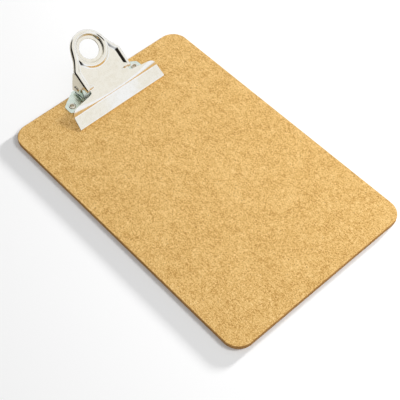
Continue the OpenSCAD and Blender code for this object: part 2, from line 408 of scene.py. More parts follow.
@dataclass(frozen=True)
class Hardboard:
    """Pressed wood fibre, oil-tempered: a warm tan skin of matted fibres with dark shives in it.

    The smooth face is hot-pressed, so it has a faint sheen. The edge is cut, so it shows felt. The back
    carries the print of the press's wire screen.

    Attributes:
        pale: lightest fibre.
        tan: body colour.
        brown: darkest fibre.
        shive: colour of the dark slivers.
        fibre_mm: length of a fibre clump.
        streak_mm: width of a long fibre.
        blotch_mm: size of the slow colour changes.
        shive_mm: pitch of the dark slivers.
        screen_mm: pitch of the screen's print on the back.
    """

    pale: str = "#f1cd8e"
    tan: str = "#d6ac64"
    brown: str = "#a07230"
    shive: str = "#7a5526"
    fibre_mm: float = 0.7
    streak_mm: float = 0.5
    blotch_mm: float = 9.0
    shive_mm: float = 2.6
    screen_mm: float = 1.6

    def material(self, side: BoardFace) -> bpy.types.Material:
        """Builds the material for one of the board's surfaces.

        Args:
            side: which surface it is for.

        Returns:
            The material.
        """
        made, tree, shader = start_material(side.value)
        place = add(tree, "TexCoord").outputs["Object"]
        shader.inputs["Metallic"].default_value = 0.0
        shader.inputs["IOR"].default_value = 1.5
        shader.inputs["Roughness"].default_value = 0.62 if side is BoardFace.SMOOTH else 0.85
        # Fibre clumps with cells fibre_mm across, and slow blotches.
        layers = []
        for size, detail, fine in ((self.fibre_mm, 5.0, 0.68), (self.blotch_mm, 3.0, 0.6)):
            noise = add(tree, "TexNoise", None, Vector=place, Scale=1 / (size * MM), Detail=detail, Roughness=fine)
            layers.append(noise.outputs["Fac"])
        grain, blotch = layers
        # Two sets of long fibres, six times longer than wide, lying across each other.
        streaks = []
        for turn in (0.5, -0.9):
            lay = add(tree, "Mapping", None, Vector=place, Rotation=(0.0, 0.0, turn), Scale=(1.0, 0.17, 1.0))
            pitch = 1 / (self.streak_mm * MM)
            streak = add(tree, "TexNoise", None, Vector=lay.outputs[0], Scale=pitch, Detail=2.0, Roughness=0.5)
            streaks.append(streak.outputs["Fac"])
        mixed = 0.0
        for layer, share in ((grain, 0.66), (streaks[0], 0.12), (streaks[1], 0.12), (blotch, 0.10)):
            mixed = add(tree, "Math", {"operation": "MULTIPLY_ADD"}, i0=layer, i1=share, i2=mixed).outputs[0]
        stops, height, depth = [(0.40, self.brown), (0.50, self.tan), (0.60, self.pale)], grain, 0.02
        if side is BoardFace.EDGE:
            stops, depth = [(0.36, "#7d5420"), (0.5, "#a87a3c"), (0.64, "#c99a58")], 0.25
        elif side is BoardFace.BACK:
            stops, depth = [(0.36, "#8f6430"), (0.5, "#ab7f45"), (0.64, "#bf9458")], 0.12
            # The wire screen's print: the product of a sine along X and one along Y.
            split = add(tree, "SeparateXYZ", None, Vector=place)
            waves = []
            for axis in ("X", "Y"):
                pitch = 2 * np.pi / (self.screen_mm * MM)
                turns = add(tree, "Math", {"operation": "MULTIPLY"}, i0=split.outputs[axis], i1=pitch).outputs[0]
                waves.append(add(tree, "Math", {"operation": "SINE"}, i0=turns).outputs[0])
            height = add(tree, "Math", {"operation": "MULTIPLY"}, i0=waves[0], i1=waves[1]).outputs[0]
        skin = add(tree, "ValToRGB", {"stops": stops}, Fac=mixed).outputs["Color"]
        # Shives: sparse dark slivers under 1 mm wide.
        speck = add(tree, "TexVoronoi", None, Vector=place, Scale=1 / (self.shive_mm * MM), Randomness=1.0)
        distance = speck.outputs["Distance"]
        near = add(tree, "MapRange", None, Value=distance, From_Min=0.10, From_Max=0.2, To_Min=1.0, To_Max=0.0)
        chosen = add(tree, "MapRange", None, Value=blotch, From_Min=0.5, From_Max=0.66, To_Min=0.0, To_Max=0.75)
        amount = add(tree, "Math", {"operation": "MULTIPLY"}, i0=near.outputs[0], i1=chosen.outputs[0]).outputs[0]
        colour = add(tree, "Mix", {"data_type": "RGBA"}, i0=amount, i6=skin, i7=linear(self.shive)).outputs[2]
        tree.links.new(colour, shader.inputs["Base Color"])
        bump = add(tree, "Bump", None, Strength=0.5, Distance=depth * MM, Height=height)
        tree.links.new(bump.outputs["Normal"], shader.inputs["Normal"])
        return made


@dataclass(frozen=True)
class PlatedSteel:
    """Sheet or turned steel with a thin bright plate over rolling and tumbling marks.

    Attributes:
        name: the finish's plain name.
        colour: the plate's reflection colour.
        dull: its colour where it is rubbed or hazed.
        roughness: sharpness of its reflections, 0 for a mirror.
        haze: how much the roughness varies.
        ripple_mm: size of the slow waves left by stamping.
        ripple_depth: depth of those waves, in millimetres.
        cloud_mm: size of the hazed patches.
        rub_mm: spacing of the fine rub marks.
    """

    name: str
    colour: str
    dull: str
    roughness: float
    haze: float = 0.08
    ripple_mm: float = 7.0
    ripple_depth: float = 0.02
    cloud_mm: float = 3.2
    rub_mm: float = 0.4

    def material(self) -> bpy.types.Material:
        """Builds the plate's material.

        Returns:
            The material.
        """
        made, tree, shader = start_material(self.name)
        place = add(tree, "TexCoord").outputs["Object"]
        shader.inputs["Metallic"].default_value = 1.0
        pitch = 1 / (self.cloud_mm * MM)
        cloud = add(tree, "TexNoise", None, Vector=place, Scale=pitch, Detail=4.0, Roughness=0.6).outputs["Fac"]
        tint = add(tree, "ValToRGB", {"stops": [(0.38, self.dull), (0.56, self.colour)]}, Fac=cloud)
        tree.links.new(tint.outputs["Color"], shader.inputs["Base Color"])
        # Tumbling haze and fine rub marks, which the light catches.
        rub = add(tree, "Mapping", None, Vector=place, Rotation=(0.3, 0.2, 0.7), Scale=(1.0, 0.08, 1.0)).outputs[0]
        lines = add(tree, "TexNoise", None, Vector=rub, Scale=1 / (self.rub_mm * MM), Detail=2.0).outputs["Fac"]
        both = add(tree, "Math", {"operation": "ADD"}, i0=cloud, i1=lines).outputs[0]
        least, most = self.roughness, self.roughness + self.haze
        rough = add(tree, "MapRange", None, Value=both, From_Min=0.7, From_Max=1.3, To_Min=least, To_Max=most)
        tree.links.new(rough.outputs["Result"], shader.inputs["Roughness"])
        pitch = 1 / (self.ripple_mm * MM)
        waves = add(tree, "TexNoise", None, Vector=place, Scale=pitch, Detail=1.0).outputs["Fac"]
        bump = add(tree, "Bump", None, Strength=1.0, Distance=self.ripple_depth * MM, Height=waves)
        tree.links.new(bump.outputs["Normal"], shader.inputs["Normal"])
        return made


# Bright nickel over rolled steel: warm white, near mirror, with the slow waves of the stamping.
NICKEL = PlatedSteel("bright_nickel_plate", "#f3efe3", "#efeadc", 0.08, 0.08, 7.0, 0.02)
# Zinc plate with a clear passivate: cooler, hazier and faintly green.
ZINC = PlatedSteel("clear_zinc_plate", "#dfeadf", "#d2dfd3", 0.2, 0.12, 5.0, 0.02)
# Peened pin and rolled rivets keep a nickel plate that is worn on the high spots.
TURNED = PlatedSteel("tumbled_nickel_plate", "#ece6d8", "#cfc7b6", 0.16, 0.1, 2.0, 0.01)
# Oil-tempered spring wire: dark grey, drawn, with a thin oil film.
WIRE = PlatedSteel("oil_tempered_wire", "#77756f", "#5c5a55", 0.28, 0.12, 3.0, 0.005)


# ---- sub-assemblies


@dataclass
class Board:
    """The pressed hardboard panel.

    Attributes:
        corner: radius of its corners.
        ease: rounding of its cut edges.
        rivet_x: distance of each rivet hole from the middle.
        rivet_y: place of the rivet holes along the board.
        hole_r: radius of a rivet hole.
        bore_r: radius of its counterbore in the back.
        bore_depth: depth of the counterbore.
    """

    corner: float = 12.0
    ease: float = 0.35
    rivet_x: float = 28.7
    rivet_y: float = 105.1
    hole_r: float = 1.65
    bore_r: float = 3.0
    bore_depth: float = 0.9

    def build(self) -> Piece:
        """Builds the board from its CAD box, with eased edges and the two rivet holes.

        Returns:
            The board.
        """
        high = np.array(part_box("board")[1]) / MM
        quarter = arc((0, 0), self.corner, np.linspace(0, np.pi / 2, 25))
        parts = []
        for k, (sx, sy) in enumerate(((1, 1), (-1, 1), (-1, -1), (1, -1))):
            c, s = ((1, 0), (0, 1), (-1, 0), (0, -1))[k]
            spun = quarter @ np.array([[c, s], [-s, c]])
            parts.append(spun + [sx * (high[0] - self.corner), sy * (high[1] - self.corner)])
        bore = (self.hole_r, self.bore_r, self.bore_depth)
        holes = [((s * self.rivet_x, self.rivet_y), *bore) for s in (-1, 1)]
        points, faces, zones = Slab(np.vstack(parts), 0.0, high[2], self.ease, holes).build()
        finish = Hardboard()
        skins = [finish.material(side) for side in (BoardFace.SMOOTH, BoardFace.BACK, BoardFace.EDGE)]
        piece = mesh_piece("hardboard_panel", points, faces, skins, np.minimum(zones, 2), zones < 2)
        recalculate(piece)
        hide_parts("board")
        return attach(piece, "board")


@dataclass
class Bracket:
    """The flat base plate with its two upright ears.

    Attributes:
        sheet: thickness of the steel.
        half: half the plate's width.
        back: where its back edge lies.
        ear_x: outer face of each ear, from the middle.
        ear_r: radius of the ear's top.
        bend: inside radius where an ear turns up.
        corner: how much of each corner of the plate is rounded.
        pin_hole: radius of the pin's hole.
        sunk: how far an ear's foot runs into the plate.
    """

    sheet: float = 0.9
    half: float = 33.6
    back: float = 116.3
    ear_x: float = 18.9
    ear_r: float = 4.4
    bend: float = 0.9
    corner: float = 0.9
    pin_hole: float = 1.8
    sunk: float = 0.3

    def outline(self) -> Array:
        """The plate's outline: a wide strip with its corners cut off, counter-clockwise."""
        right = np.array([[24.0, 96.8], [self.half, 100.5], [self.half, 108.1], [20.8, self.back]])
        left = right[::-1] * [-1, 1]
        corners = np.vstack([right, left])
        after = np.roll(corners, -1, 0)
        sides = after - corners
        share = np.clip(self.corner / np.linalg.norm(sides, axis=1), 0, 0.3)[:, None]
        return chaikin(np.stack([corners + sides * share, after - sides * share], 1).reshape(-1, 2), 2)

    def ear(self, pivot: Array, side: int, plate_top: float) -> tuple[Array, list, Array]:
        """One upright ear: a round-topped tongue in the Y-Z plane, as thick as the sheet.

        Args:
            pivot: the hinge axis, in millimetres.
            side: 1 for the right ear, -1 for the left.
            plate_top: height of the plate's upper face.

        Returns:
            Points, faces and zones.
        """
        top = arc((pivot[1], pivot[2]), self.ear_r, np.linspace(-0.15, np.pi + 0.15, 40))
        level = plate_top - self.sunk
        foot = np.array([[pivot[1] - 6.4, level], [self.back - 1.2, level]])
        loop = np.vstack([foot, top])
        hole = [((pivot[1], pivot[2]), self.pin_hole, self.pin_hole, 0.0)]
        points, faces, zones = Slab(loop, 0.0, self.sheet, 0.12, hole).build()
        x = self.ear_x - self.sheet + points[:, 2]
        return np.column_stack([side * x, points[:, 0], points[:, 1]]), faces, zones

    def bend_fillet(self, pivot: Array, side: int, plate_top: float) -> tuple[Array, Array]:
        """The bend at an ear's foot: a quarter-round hollow of radius bend, carried along the foot.

        Args:
            pivot: the hinge axis.
            side: 1 for the right ear, -1 for the left.
            plate_top: height of the plate's upper face.

        Returns:
            Points and quads of a closed strip.
        """
        a = np.linspace(0, np.pi / 2, 9)
        x = self.ear_x + self.bend * (1 - np.sin(a)) - 0.05
        z = plate_top - 0.05 + self.bend * (1 - np.cos(a))
        x = np.append(x, self.ear_x - self.sunk)
        z = np.append(z, plate_top - self.sunk)
        y = np.array([pivot[1] - 5.6, self.back - 1.8])
        points = np.stack(np.broadcast_arrays(side * x[None, :], y[:, None], z[None, :]), -1).reshape(-1, 3)
        return points, grid_faces(2, len(x), closed=True)

    def build(self, pivot: Array, rivets: Board) -> Piece:
        """Builds the bracket and joins its parts into one piece.

        Args:
            pivot: the hinge axis, in millimetres.
            rivets: the board, which says where the rivets are.

        Returns:
            The bracket.
        """
        low, _ = (np.array(c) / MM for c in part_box("base_plate"))
        holes = [((s * rivets.rivet_x, rivets.rivet_y), rivets.hole_r, rivets.hole_r, 0.0) for s in (-1, 1)]
        parts = [Slab(self.outline(), low[2], low[2] + self.sheet, 0.22, holes).build()]
        for side in (-1, 1):
            parts.append(self.ear(pivot, side, low[2] + self.sheet))
            points, quads = self.bend_fillet(pivot, side, low[2] + self.sheet)
            half = len(points) // 2
            caps = [list(range(half)), list(range(2 * half - 1, half - 1, -1))]
            parts.append((points, quads.tolist() + caps, np.full(len(quads) + 2, 2)))
        piece = join_parts("bracket_plate", parts, ZINC.material())
        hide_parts("base_plate")
        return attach(piece, "board")


def join_parts(name: str, parts: list, material: bpy.types.Material) -> Piece:
    """Makes one piece from several closed shells.

    Args:
        name: the piece's name.
        parts: points, faces and zones of each shell.
        material: the piece's finish.

    Returns:
        The piece, with its faces outward.
    """
    offset, points, faces, flat = 0, [], [], []
    for some_points, some_faces, zones in parts:
        points.append(some_points)
        faces += [[int(k) + offset for k in f] for f in some_faces]
        flat += (np.asarray(zones) < 2).tolist()
        offset += len(some_points)
    piece = mesh_piece(name, np.vstack(points), faces, [material], None, np.array(flat))
    recalculate(piece)
    return piece


@dataclass
class Lever:
    """The stamped clip: panel, raised bead, hanging ring, wings, lip and side ears, from one sheet.

    Its sloping panel has its own plane: u runs across, v up the slope from the fold, and w out of it.

    Attributes:
        fold: y and z of the fold's line.
        tilt: the panel's slope, in degrees.
        sheet: thickness of the steel.
        half_side: distance from the middle to the outer face of each side.
        ring_v: distance from the fold to the ring's centre.
        ring_r: outer radius of the ring.
        hole_r: radius of the hanging hole.
        bead: height of the raised bead.
        bead_w: width of the bead.
        rim: depth of the turned-down rim.
        well: level of the flat round the hanging hole.
        side_end: where the sides and their beads end, up the slope.
        relief_u: how far in the relief notch beside each wing cuts.
        step_r: radius at which the sheet starts to climb from the well to the ring.
        steep: extra slope of the panel just above the fold, as a tangent.
        dip: greatest drop of the panel at the fold.
        crest: distance from the outline to the edge bead's crest.
        ring_crest: distance from the ring's outline to its bead's crest.
        half_jaw: half the jaw's width at the fold.
        flare: share by which the lip widens towards its foot.
        foot: y and z where the lip ends and the curl starts.
        lip_tilt: the lip's slope, in degrees.
        curl_r: radius of the curl.
        pin_hole: radius of the pin's hole in each ear.
    """

    fold: tuple[float, float] = (89.5, 12.3)
    tilt: float = 36.0
    sheet: float = 0.9
    half_side: float = 20.0
    ring_v: float = 34.9
    ring_r: float = 13.8
    hole_r: float = 7.4
    bead: float = 1.8
    bead_w: float = 4.4
    rim: float = 2.2
    well: float = -0.55
    side_end: float = 10.0
    relief_u: float = 17.1
    step_r: float = 9.3
    steep: float = 0.72
    dip: float = 1.25
    crest: float = 2.0
    ring_crest: float = 1.7
    half_jaw: float = 37.8
    flare: float = 0.018
    foot: tuple[float, float] = (83.16, 5.5)
    lip_tilt: float = 47.0
    curl_r: float = 1.28
    pin_hole: float = 1.76

    def edge(self) -> Array:
        """The right-hand edge from the ring's top to the end of the side bead, as u and v.

        The ring is an arc, the neck hollows a little on its way to the shoulder, and the side is straight
        down to the bead's rounded end.
        """
        ring = arc((0.0, self.ring_v), self.ring_r, np.radians(np.linspace(90, 19, 60)))
        s = self.half_side
        neck = np.array(
            [ring[-1], [13.85, 37.3], [14.4, 35.5], [14.95, 33.9], [15.6, 32.5], [16.6, 30.8], [18.0, 28.6]]
            + [[s - 0.55, 26.4], [s - 0.1, 25.3], [s, 24.0], [s, 11.2], [s - 0.1, 10.1]]
            + [[s - 0.7, 9.45], [s - 1.6, 9.3], [s - 2.5, 9.6], [self.relief_u, self.side_end]]
        )
        return np.vstack([ring[:-1], chaikin(neck, closed=False)])

    def plane(self, u: Array, v: Array, w: Array) -> Array:
        """Turns u, v and w on the sloping panel into x, y and z in the part's frame."""
        c, s = np.cos(np.radians(self.tilt)), np.sin(np.radians(self.tilt))
        return np.stack([u, self.fold[0] + v * c - w * s, self.fold[1] + v * s + w * c], -1)

    def crown(self, u: Array, v: Array) -> Array:
        """Bow of the sheet near the fold: its slope falls as a square root from steep to 0 over the reach.

        Args:
            u: across the panel.
            v: up the panel.

        Returns:
            The height w at each point.
        """
        out = np.abs(u) / self.half_jaw
        reach = 1.7 + 5.4 * out**2.5
        full = self.steep * reach / 1.5
        return full * (1 - np.clip(1 - v / reach, 0, 1) ** 1.5) - np.minimum(full, self.dip)

    def relief(self, u: Array, v: Array, edge: Array) -> Array:
        """Height of the stamped head over the panel's plane.
        The edge bead rises to its crest, then falls almost straight to its toe. The ring's bead is a
        cosine hump round the hanging hole, and inside it the sheet steps down to the well. The two beads
        meet as the fourth root of the sum of their fourth powers.

        Args:
            u: across the panel.
            v: up the panel.
            edge: the outline's points on both sides.

        Returns:
            The height w at each point.
        """
        points = np.stack([u.ravel(), v.ravel()], 1)
        a, b = edge[:-1], edge[1:]
        d = b - a
        near = np.empty(len(points))
        batch = 4000
        for start in range(0, len(points), batch):
            p = points[start : start + batch, None, :]
            t = np.clip(((p - a) * d).sum(-1) / (d * d).sum(-1), 0, 1)
            near[start : start + batch] = np.linalg.norm(p - a - t[..., None] * d, axis=-1).min(1)
        q = near.reshape(u.shape)
        r = np.hypot(u, v - self.ring_v)
        rise = (1 - np.clip((self.crest - q) / self.crest, 0, 1) ** 2.6) ** 0.5
        down = (q - self.crest) / (self.bead_w - self.crest)
        fall = 1 - 0.7 * np.clip(down, 0, 1) - 0.3 * smooth_step(down)
        outer = self.bead * np.where(q < self.crest, rise, fall)
        bead_end = self.side_end - 0.7 * smooth_step((np.abs(u) - self.relief_u) / 1.2)
        outer = outer * smooth_step((v - bead_end) / 1.2)
        top_r = self.ring_r - self.ring_crest
        hump = 0.85 * self.bead * (1 - smooth_step(np.abs(r - top_r) / 2.6))
        both = (outer**4 + hump**4) ** 0.25
        step = smooth_step((r - self.step_r) / 1.4)
        inside = self.well + (np.maximum(both, hump.max() * (r < top_r)) - self.well) * step
        return np.where(r < top_r, inside, both)

    def head(self) -> tuple[Array, list, Array]:
        """The head as rays from the ring's centre, from the hanging hole out to the outline.

        A point is ring centre + r (cos a, sin a), where r runs from the hole's radius to the outline's,
        closer together over the ring's bead and over the bead at the outline. The rim carries on from the
        outline straight down the panel's normal.

        Returns:
            Points, quads and the places across of the columns where the front part starts.
        """
        near_rows, far_rows, rim_rows, rim_gap, rim_fade = 20, 36, 6, 8, 6.0
        foot_angle = -49.5  # the ray that meets the side's foot
        right = self.edge()
        polar = np.degrees(np.arctan2(right[:, 1] - self.ring_v, right[:, 0]))
        radius = np.hypot(right[:, 0], right[:, 1] - self.ring_v)
        order = np.argsort(polar)
        end = np.linspace(polar[order][0], foot_angle, 26)[:-1]
        side = np.concatenate([end, np.linspace(foot_angle, 90, 190)])
        across = np.linspace(-self.relief_u, self.relief_u, 111)
        front = np.degrees(np.arctan2(self.side_end - self.ring_v, across))
        angle = np.concatenate([front[:-1], side, (180 - side[::-1])[1:-1]])
        outline = np.interp(side, polar[order], radius[order])
        front_r = (self.ring_v - self.side_end) / -np.sin(np.radians(front))
        reach = np.concatenate([front_r[:-1], outline, outline[::-1][1:-1]])
        turn = np.radians(angle)[None, :]
        split = self.ring_r - 2.0
        inner = self.hole_r + (split - self.hole_r) * np.linspace(0, 1, near_rows)[:, None]
        far = np.linspace(0, 1, far_rows + 1)[1:, None]
        spread = far - 0.35 * np.sin(2 * np.pi * far) / (2 * np.pi)
        outer = split + (reach[None, :] - split) * spread
        r = np.vstack([np.broadcast_to(inner, (near_rows, len(angle))), outer])
        u, v = r * np.cos(turn), self.ring_v + r * np.sin(turn)
        w = self.relief(u, v, np.vstack([right[::-1], right[1:] * [-1, 1]]))
        rows, columns = u.shape
        faces = grid_faces(rows, columns, closed=True).tolist()
        # The rim hangs from the outline only, from the end of one side bead to the other.
        hung = slice(len(front) - 1 + rim_gap, columns - rim_gap + 1)
        eu, ev, ew = u[-1, hung], v[-1, hung], w[-1, hung]
        place = np.arange(len(eu))
        drop = np.linspace(0, 1, rim_rows + 1)[1:, None]
        depth = np.maximum(self.rim * smooth_step(np.minimum(place, place[::-1]) / rim_fade), 0.02)
        wide = (rim_rows, len(eu))
        lower = self.plane(np.broadcast_to(eu, wide), np.broadcast_to(ev, wide), ew - drop * depth)
        upper = (rows - 1) * columns + np.arange(columns)[hung]
        strip = np.vstack([upper, rows * columns + np.arange(rim_rows * len(eu)).reshape(wide)])
        quads = np.stack([strip[:-1, :-1], strip[:-1, 1:], strip[1:, 1:], strip[1:, :-1]], -1)
        faces += quads.reshape(-1, 4).tolist()
        return np.vstack([self.plane(u, v, w).reshape(-1, 3), lower.reshape(-1, 3)]), faces, across

    def front(self, across: Array) -> tuple[Array, Array]:
        """The front of the sheet as columns: down the panel to the fold, down the lip, and round the curl.

        Above the fold a point is v = top (1 - t) on the bowed panel. Below it the sheet runs straight to
        the foot and then turns in on a circle until it is level, just over the board.

        Args:
            across: places of the middle columns, from the head's lower edge.

        Returns:
            Points and quads.
        """
        rows, curl_rows = 27, 14
        wing_top = np.array(
            [[17.1, 8.2], [17.35, 7.7], [18.3, 7.15], [21, 6.6], [25, 6.1], [28.5, 5.65], [33, 4.95], [35.2, 4.1]]
            + [[36.6, 2.9], [37.2, 1.9], [37.45, 1.3], [37.6, 0.9]]
        )
        wing = resample(chaikin(wing_top, 2, closed=False), 0.32)[1:]
        foot_u = self.relief_u + (self.half_jaw - self.relief_u) * np.linspace(0, 1, len(wing) + 1)[1:]
        top_u = np.concatenate([-wing[::-1, 0], across, wing[:, 0]])
        top_v = np.concatenate([wing[::-1, 1], np.full(len(across), self.side_end), wing[:, 1]])
        low_u = np.concatenate([-foot_u[::-1], across, foot_u])
        t = np.linspace(0, 1, rows)[:, None]
        u, v = top_u + (low_u - top_u) * t, top_v * (1 - t)
        panel = self.plane(u, v, self.crown(u, v))
        (foot_y, foot_z), slope = self.foot, np.radians(self.lip_tilt)
        s = np.linspace(0, 1, rows)[1:, None]
        y, z = panel[-1, :, 1], panel[-1, :, 2]
        lip = np.stack([low_u * (1 + self.flare * s), y + (foot_y - y) * s, z + (foot_z - z) * s], -1)
        a = np.linspace(slope, np.pi, curl_rows + 1)[1:, None]
        curl_y = foot_y - self.curl_r * (np.sin(a) - np.sin(slope))
        curl_z = foot_z - self.curl_r * (np.cos(slope) - np.cos(a))
        curl = np.stack(np.broadcast_arrays(low_u * (1 + self.flare), curl_y, curl_z), -1)
        sheet = np.concatenate([panel, lip, curl])
        # The fold is pressed to a small radius: rows near it are averaged with their neighbours.
        above, below = rows - 2, rows + 2
        mean = sheet[above - 1 : below - 1] + sheet[above + 1 : below + 1]
        sheet[above:below] = 0.5 * sheet[above:below] + 0.25 * mean
        return sheet.reshape(-1, 3), grid_faces(*sheet.shape[:2])

    def ear(self, pivot: Array, side: int) -> tuple[Array, list, Array]:
        """One side ear: it hangs from the rim, goes round the hinge pin, and ends in the stop corner.

        Args:
            pivot: the hinge axis, in millimetres.
            side: 1 for the right ear, -1 for the left.

        Returns:
            Points, faces and zones.
        """
        y, z = pivot[1], pivot[2]
        under = arc((y, z), 4.1, np.linspace(-np.pi / 2, -np.pi, 14))
        outline = np.vstack(
            [
                under,
                [[y - 4.1, z + 1.6], [y - 4.9, z + 3.2], [102.6, 16.7], [99.0, 17.6], [98.3, 17.9], [98.4, 18.2]],
                [[104.0, 22.3], [110.4, 27.0], [111.6, 27.0], [112.7, 25.7], [113.3, 22.8], [114.4, 16.0]],
                [[114.95, 12.9], [115.3, 9.6], [115.8, 6.9], [115.6, 6.45], [115.0, 6.4]],
            ]
        )
        loop = chaikin(outline[::-1], 2)
        if area(loop) < 0:
            loop = loop[::-1]
        hole = [((y, z), self.pin_hole, self.pin_hole, 0.0)]
        points, faces, zones = Slab(loop, 0.0, self.sheet, 0.14, hole).build()
        x = self.half_side - 0.02 - self.sheet + points[:, 2]
        return np.column_stack([side * x, points[:, 0], points[:, 1]]), faces, zones

    def build(self, pivot: Array) -> Piece:
        """Builds the lever: head and front as one surface given its thickness, and the two ears.

        Args:
            pivot: the hinge axis, in millimetres.

        Returns:
            The lever.
        """
        head_points, head_faces, across = self.head()
        front_points, front_faces = self.front(across)
        points = np.vstack([head_points, front_points])
        faces = head_faces + (front_faces + len(head_points)).tolist()
        sheet = mesh_piece("lever_sheet", points, faces, [NICKEL.material()])
        recalculate(sheet, SHEET_WELD)
        zero = np.zeros(3)
        normal = Vector(self.plane(*np.eye(3)[2]) - self.plane(*zero))
        if sum(Vector(p.normal).dot(normal) * p.area for p in sheet.data.polygons) < 0:
            sheet.data.flip_normals()
        wall = sheet.modifiers.new("thickness", "SOLIDIFY")
        wall.thickness, wall.offset = self.sheet * MM, -1.0
        wall.use_even_offset, wall.use_rim = False, True
        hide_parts("lever")
        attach(sheet, "lever")
        ears = join_parts("lever_ears", [self.ear(pivot, s) for s in (-1, 1)], sheet.data.materials[0])
        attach(ears, "lever")
        return sheet


def area(loop: Array) -> float:
    """Signed area of a loop by the shoelace formula, positive when counter-clockwise."""
    after = np.roll(loop, -1, axis=0)
    return 0.5 * float((loop[:, 0] * after[:, 1] - after[:, 0] * loop[:, 1]).sum())


@dataclass
class HingePin:
    """The hinge pin, peened over outside the lever's ears.

    Attributes:
        radius: the shank's radius.
        grip: distance from the middle to each ear's outer face.
        head: radius of the peened head.
        rise: how far the head stands proud.
    """

    radius: float = 1.75
    grip: float = 20.0
    head: float = 2.6
    rise: float = 0.8

    def build(self, pivot: Array) -> Piece:
        """Builds the pin: a shank with a domed, slightly dished head at each end, turned round X.

        Args:
            pivot: the hinge axis.

        Returns:
            The pin.
        """
        t = np.linspace(0, 1, 12)
        blunt, lift, dish = 0.55, 0.12, 0.18
        dome_r = self.head * np.cos(t * np.pi / 2) ** blunt
        arch = lift + (1 - lift) * np.sin(t * np.pi / 2)
        dome_z = self.grip + self.rise * arch - dish * smooth_step((t - 0.6) / 0.4)
        end = np.column_stack([dome_r, dome_z])
        end[-1, 0] = 0.0
        half = np.vstack([[self.radius, 0.0], [self.radius, self.grip], [self.head, self.grip], end])
        profile = np.vstack([(half * [1, -1])[::-1], half[1:]])
        points, faces = turned(profile)
        spun = np.stack([points[:, 2], points[:, 0] + pivot[1], points[:, 1] + pivot[2]], 1)
        piece = mesh_piece("peened_hinge_pin", spun, faces, [TURNED.material()])
        recalculate(piece)
        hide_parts("hinge_pin")
        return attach(piece, "lever")


@dataclass
class Spring:
    """The torsion spring round the hinge pin, which twists as the lever tips.

    Attributes:
        lower: tip of the lower leg as y and z from the hinge axis.
        upper: tip of the upper leg as y and z from the hinge axis.
        wire: the wire's diameter.
        gap: room left between neighbouring turns.
        coil_r: mean radius of the coil.
        turns: number of turns.
        foot: length of the lower leg's flat end.
    """

    lower: tuple[float, float]
    upper: tuple[float, float]
    wire: float = 1.5
    gap: float = 0.12
    coil_r: float = 3.1
    turns: int = 9
    foot: float = 2.5

    def touch(self, tip: Array, side: int) -> float:
        """Angle where a leg leaves the coil: the tip's own angle plus or minus arccos(coil_r / distance)."""
        return float(np.arctan2(tip[1], tip[0]) + side * np.arccos(self.coil_r / np.linalg.norm(tip)))

    def build(self, pivot: Array) -> Piece:
        """Builds the spring along its wire's path: foot, lower leg, coil, upper leg.

        On the coil, x runs evenly from one side to the other while (y, z) = coil_r (cos a, sin a).

        Args:
            pivot: the hinge axis.

        Returns:
            The spring, with one leg on the bracket's plate and one under the lever's panel.
        """
        half = self.turns * (self.wire + self.gap) / 2
        lower, upper = np.array(self.lower), np.array(self.upper)
        start = self.touch(lower, -1)
        swept = self.turns * 2 * np.pi + start - self.touch(upper, 1)
        k = np.linspace(0, 1, self.turns * 36)
        a = start - swept * k
        coil = np.stack([half * (2 * k - 1), self.coil_r * np.cos(a), self.coil_r * np.sin(a)], 1)
        foot = np.array([-half, lower[0] + self.foot, lower[1]])
        bend = np.array([-half, *lower])
        legs_in = resample(np.vstack([foot, bend + [0, 0.7, 0]]), 0.5)
        knee = np.vstack([lower + [0.7, 0], lower, lower + 0.22 * (coil[0, 1:] - lower)])
        corner = chaikin(knee, closed=False)
        corner = np.column_stack([np.full(len(corner), -half), corner])
        up_leg = resample(np.vstack([coil[-1], [half, *upper]]), 0.5)[1:]
        path = np.vstack([legs_in[:-1], corner, coil[1:], up_leg]) + [0, pivot[1], pivot[2]]
        points, faces = swept_tube(path, self.wire / 2)
        piece = mesh_piece("torsion_spring_wire", points, faces, [WIRE.material()])
        recalculate(piece)
        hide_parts("torsion_spring")
        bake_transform(piece)
        return piece


@dataclass
class Rivet:
    """A hollow rivet: rolled head on the bracket, open barrel, and an end clinched under the board.

    Attributes:
        bore: radius of the open barrel.
        shank: outer radius of the barrel.
        head: radius of the rolled head.
        clinch: radius of the clinched end.
    """

    bore: float = 1.2
    shank: float = 1.6
    head: float = 2.6
    clinch: float = 2.9

    def build(self, node: str, plate_top: float) -> Piece:
        """Builds one rivet: its section is a closed loop turned round the barrel's axis.

        Args:
            node: the CAD node that it stands for.
            plate_top: height of the bracket's upper face.

        Returns:
            The rivet.
        """
        low, high = (np.array(c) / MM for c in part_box(node))
        centre = (low + high) / 2
        a = np.linspace(0, np.pi, 14)
        roll_w = (self.head - self.bore) / 2
        roll = np.column_stack([self.bore + roll_w - roll_w * np.cos(a), plate_top + 0.06 + 0.62 * np.sin(a)])
        roll[0, 1] = plate_top - 0.05
        tail = [[self.head, plate_top], [self.shank, plate_top], [self.shank, 0.86], [self.clinch - 0.25, 0.86]]
        turn = [[self.clinch, 0.55], [self.clinch - 0.15, 0.2], [self.clinch - 0.6, 0.06]]
        throat = [[self.shank + 0.25, 0.08], [self.shank - 0.15, 0.25], [self.bore, 0.7], [self.bore, 2.0]]
        points, faces = turned(np.vstack([roll, tail, turn, throat]))
        first = np.arange(TURN_STEPS)
        last = first + len(points) - TURN_STEPS
        seam = np.stack([last, np.roll(last, -1), np.roll(first, -1), first], 1)
        points = points + [centre[0], centre[1], 0]
        name = node.replace("rivet", "hollow_rivet")
        piece = mesh_piece(name, points, np.vstack([faces, seam]), [TURNED.material()])
        recalculate(piece)
        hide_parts(node)
        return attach(piece, "board")


# ---- stage


